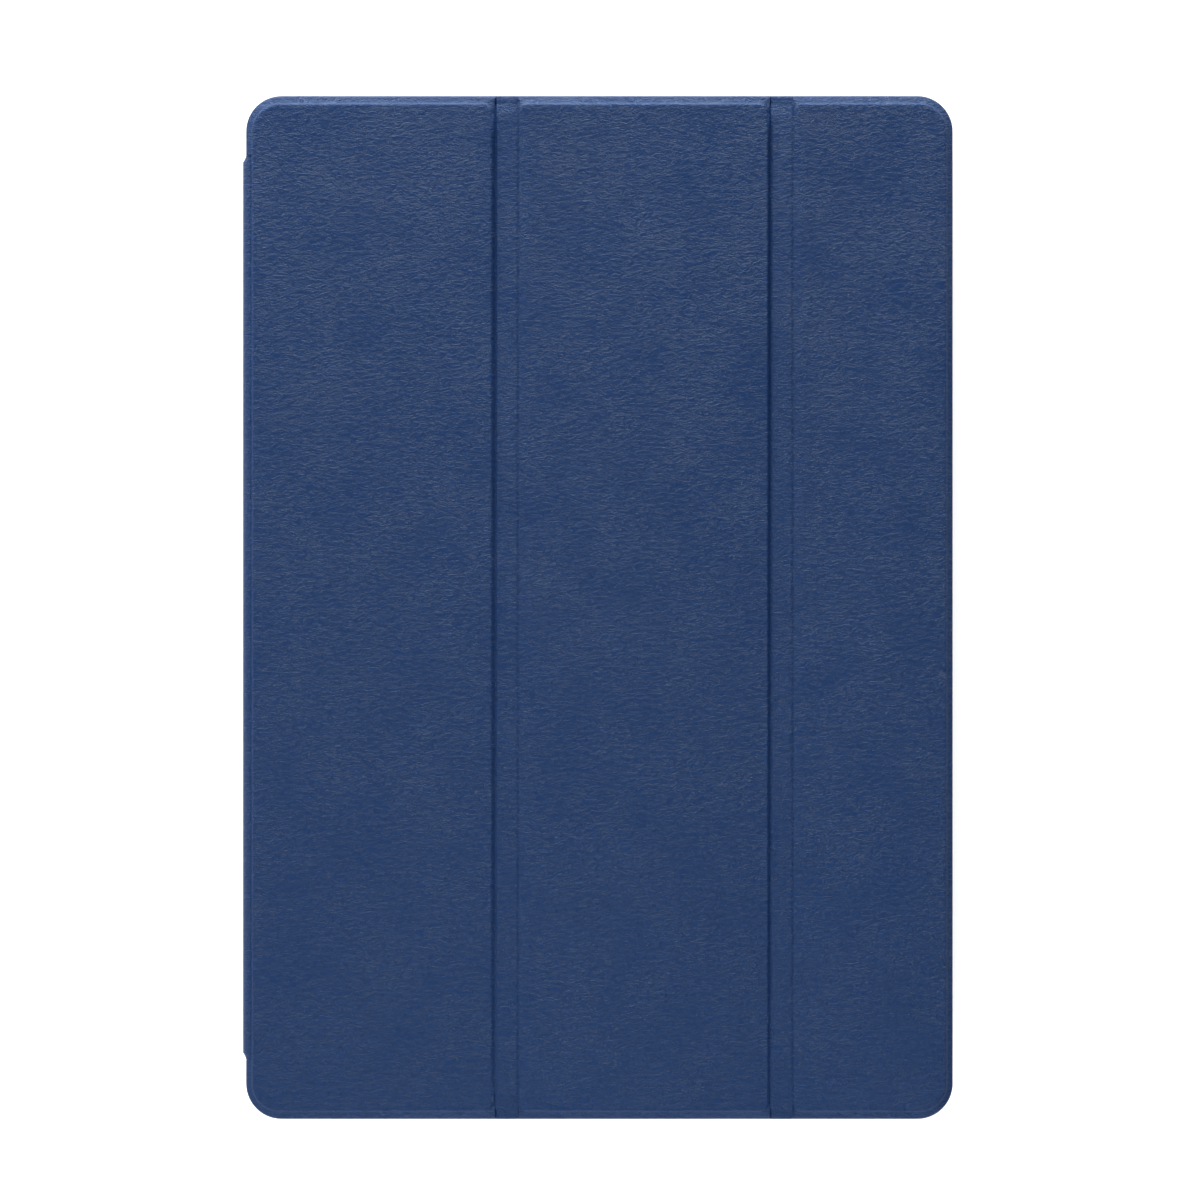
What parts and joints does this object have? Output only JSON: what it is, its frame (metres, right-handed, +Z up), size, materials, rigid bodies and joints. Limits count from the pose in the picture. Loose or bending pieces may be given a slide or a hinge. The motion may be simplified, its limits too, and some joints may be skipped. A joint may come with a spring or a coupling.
{
  "type": "tablet keyboard case",
  "caption": "Folding leather-look tablet case with a three-panel cover that rolls into a stand, a cut-out tray for the tablet and a slim removable keyboard stored inside.",
  "frame": {"origin": "centre of the footprint of the closed case, on the ground, under the tray's back", "axes": "+Z up out of the front cover, +Y along the long side towards the camera end, +X from the spine to the free edge"},
  "size_m": [0.1806, 0.26, 0.0173],
  "materials": {
    "navy_leather": "navy polyurethane leather, fine pebble grain, satin",
    "microfibre_lining": "dark slate microfibre, matt nap",
    "board": "grey-brown pressed fibreboard, hidden inside the cover",
    "magnet_steel": "nickel-plated, hidden",
    "tray_plastic": "fine spark texture",
    "soft_frame": "flexible plastic, smooth satin",
    "keyboard_plastic": "fine matt texture",
    "keyboard_base_metal": "dark anodised, satin",
    "film": "translucent printed film, hidden",
    "silicone": "translucent silicone, hidden",
    "circuit": "green solder mask, hidden",
    "battery_wrap": "foil pouch, hidden",
    "port_metal": "plated steel",
    "lens": "clear, polished",
    "foot_rubber": "matt",
    "keycap_plastic": "fine matt, light grey legends"
  },
  "bodies": {
    "case_back": {"back_plate": "tray_plastic", "bumper_frame": "soft_frame", "spine_flap": "navy_leather"},
    "spine": {"spine_leather": "navy_leather", "spine_board": "board", "spine_lining": "microfibre_lining", "lower_crease_strip": "navy_leather"},
    "panel_1": {"panel_1_leather": "navy_leather", "panel_1_board": "board", "panel_1_lining": "microfibre_lining", "upper_crease_strip": "navy_leather", "keyboard_magnet_upper": "magnet_steel", "keyboard_magnet_lower": "magnet_steel"},
    "panel_2": {"panel_2_leather": "navy_leather", "panel_2_board": "board", "panel_2_lining": "microfibre_lining", "fold_1_leather": "navy_leather", "fold_1_lining": "microfibre_lining"},
    "panel_3": {"panel_3_leather": "navy_leather", "panel_3_board": "board", "panel_3_lining": "microfibre_lining", "fold_2_leather": "navy_leather", "fold_2_lining": "microfibre_lining", "closing_magnet_upper": "magnet_steel", "closing_magnet_lower": "magnet_steel"},
    "keyboard": {"keyboard_deck": "keyboard_plastic", "keyboard_base": "keyboard_base_metal", "keeper_left": "magnet_steel", "keeper_right": "magnet_steel", "contact_sheet": "film", "key_membrane": "silicone", "battery": "battery_wrap", "control_board": "circuit", "charge_port": "port_metal", "status_lens": "lens", "foot_far_left": "foot_rubber", "foot_far_right": "foot_rubber", "foot_near_left": "foot_rubber", "foot_near_right": "foot_rubber"},
    "key_escape_body": {"key_escape": "keycap_plastic"},
    "keys_function_row_body": {"keys_function_row": "keycap_plastic"},
    "keys_number_row_body": {"keys_number_row": "keycap_plastic"},
    "key_backspace_body": {"key_backspace": "keycap_plastic"},
    "key_tab_body": {"key_tab": "keycap_plastic"},
    "keys_upper_letters_body": {"keys_upper_letters": "keycap_plastic"},
    "key_caps_lock_body": {"key_caps_lock": "keycap_plastic"},
    "keys_home_letters_body": {"keys_home_letters": "keycap_plastic"},
    "key_enter_body": {"key_enter": "keycap_plastic"},
    "key_left_shift_body": {"key_left_shift": "keycap_plastic"},
    "keys_lower_letters_body": {"keys_lower_letters": "keycap_plastic"},
    "key_right_shift_body": {"key_right_shift": "keycap_plastic"},
    "keys_left_modifiers_body": {"keys_left_modifiers": "keycap_plastic"},
    "key_space_body": {"key_space": "keycap_plastic"},
    "keys_right_modifiers_body": {"keys_right_modifiers": "keycap_plastic"},
    "key_left_arrow_body": {"key_left_arrow": "keycap_plastic"},
    "key_up_arrow_body": {"key_up_arrow": "keycap_plastic"},
    "key_down_arrow_body": {"key_down_arrow": "keycap_plastic"},
    "key_right_arrow_body": {"key_right_arrow": "keycap_plastic"},
    "power_switch_body": {"power_switch": "keycap_plastic"},
    "pair_button_body": {"pair_button": "keycap_plastic"}
  },
  "joints": [
    {"name": "spine_hinge", "type": "hinge", "parent": "case_back", "child": "spine", "pos_m": [-0.0889, 0, 0.0009], "axis": [0, -1, 0], "range_deg": [0, 180], "deforming": ["lower_crease_strip"]},
    {"name": "cover_hinge", "type": "hinge", "parent": "spine", "child": "panel_1", "pos_m": [-0.0889, 0, 0.0152], "axis": [0, -1, 0], "range_deg": [0, 110], "deforming": ["upper_crease_strip"]},
    {"name": "fold_1", "type": "hinge", "parent": "panel_1", "child": "panel_2", "pos_m": [-0.02305, 0, 0.0162], "axis": [0, -1, 0], "range_deg": [0, 141], "deforming": ["fold_1_leather", "fold_1_lining"]},
    {"name": "fold_2", "type": "hinge", "parent": "panel_2", "child": "panel_3", "pos_m": [0.0468, 0, 0.0162], "axis": [0, -1, 0], "range_deg": [0, 113], "deforming": ["fold_2_leather", "fold_2_lining"]},
    {"name": "keyboard_release", "type": "slide", "parent": "panel_1", "child": "keyboard", "axis": [0, -1, 0], "range_m": [0, 0.26]},
    {"name": "key_escape_press", "type": "slide", "parent": "keyboard", "child": "key_escape_body", "axis": [0, 0, 1], "range_m": [0, 0.001], "stiffness_N_per_m": 400},
    {"name": "keys_function_row_press", "type": "slide", "parent": "keyboard", "child": "keys_function_row_body", "axis": [0, 0, 1], "range_m": [0, 0.001], "stiffness_N_per_m": 400},
    {"name": "keys_number_row_press", "type": "slide", "parent": "keyboard", "child": "keys_number_row_body", "axis": [0, 0, 1], "range_m": [0, 0.001], "stiffness_N_per_m": 400},
    {"name": "key_backspace_press", "type": "slide", "parent": "keyboard", "child": "key_backspace_body", "axis": [0, 0, 1], "range_m": [0, 0.001], "stiffness_N_per_m": 400},
    {"name": "key_tab_press", "type": "slide", "parent": "keyboard", "child": "key_tab_body", "axis": [0, 0, 1], "range_m": [0, 0.001], "stiffness_N_per_m": 400},
    {"name": "keys_upper_letters_press", "type": "slide", "parent": "keyboard", "child": "keys_upper_letters_body", "axis": [0, 0, 1], "range_m": [0, 0.001], "stiffness_N_per_m": 400},
    {"name": "key_caps_lock_press", "type": "slide", "parent": "keyboard", "child": "key_caps_lock_body", "axis": [0, 0, 1], "range_m": [0, 0.001], "stiffness_N_per_m": 400},
    {"name": "keys_home_letters_press", "type": "slide", "parent": "keyboard", "child": "keys_home_letters_body", "axis": [0, 0, 1], "range_m": [0, 0.001], "stiffness_N_per_m": 400},
    {"name": "key_enter_press", "type": "slide", "parent": "keyboard", "child": "key_enter_body", "axis": [0, 0, 1], "range_m": [0, 0.001], "stiffness_N_per_m": 400},
    {"name": "key_left_shift_press", "type": "slide", "parent": "keyboard", "child": "key_left_shift_body", "axis": [0, 0, 1], "range_m": [0, 0.001], "stiffness_N_per_m": 400},
    {"name": "keys_lower_letters_press", "type": "slide", "parent": "keyboard", "child": "keys_lower_letters_body", "axis": [0, 0, 1], "range_m": [0, 0.001], "stiffness_N_per_m": 400},
    {"name": "key_right_shift_press", "type": "slide", "parent": "keyboard", "child": "key_right_shift_body", "axis": [0, 0, 1], "range_m": [0, 0.001], "stiffness_N_per_m": 400},
    {"name": "keys_left_modifiers_press", "type": "slide", "parent": "keyboard", "child": "keys_left_modifiers_body", "axis": [0, 0, 1], "range_m": [0, 0.001], "stiffness_N_per_m": 400},
    {"name": "key_space_press", "type": "slide", "parent": "keyboard", "child": "key_space_body", "axis": [0, 0, 1], "range_m": [0, 0.001], "stiffness_N_per_m": 400},
    {"name": "keys_right_modifiers_press", "type": "slide", "parent": "keyboard", "child": "keys_right_modifiers_body", "axis": [0, 0, 1], "range_m": [0, 0.001], "stiffness_N_per_m": 400},
    {"name": "key_left_arrow_press", "type": "slide", "parent": "keyboard", "child": "key_left_arrow_body", "axis": [0, 0, 1], "range_m": [0, 0.001], "stiffness_N_per_m": 400},
    {"name": "key_up_arrow_press", "type": "slide", "parent": "keyboard", "child": "key_up_arrow_body", "axis": [0, 0, 1], "range_m": [0, 0.001], "stiffness_N_per_m": 400},
    {"name": "key_down_arrow_press", "type": "slide", "parent": "keyboard", "child": "key_down_arrow_body", "axis": [0, 0, 1], "range_m": [0, 0.001], "stiffness_N_per_m": 400},
    {"name": "key_right_arrow_press", "type": "slide", "parent": "keyboard", "child": "key_right_arrow_body", "axis": [0, 0, 1], "range_m": [0, 0.001], "stiffness_N_per_m": 400},
    {"name": "power_switch_slide", "type": "slide", "parent": "keyboard", "child": "power_switch_body", "axis": [0, -1, 0], "range_m": [0, 0.0029]},
    {"name": "pair_button_press", "type": "slide", "parent": "keyboard", "child": "pair_button_body", "axis": [0, 0, 1], "range_m": [0, 0.0004], "stiffness_N_per_m": 800}
  ]
}
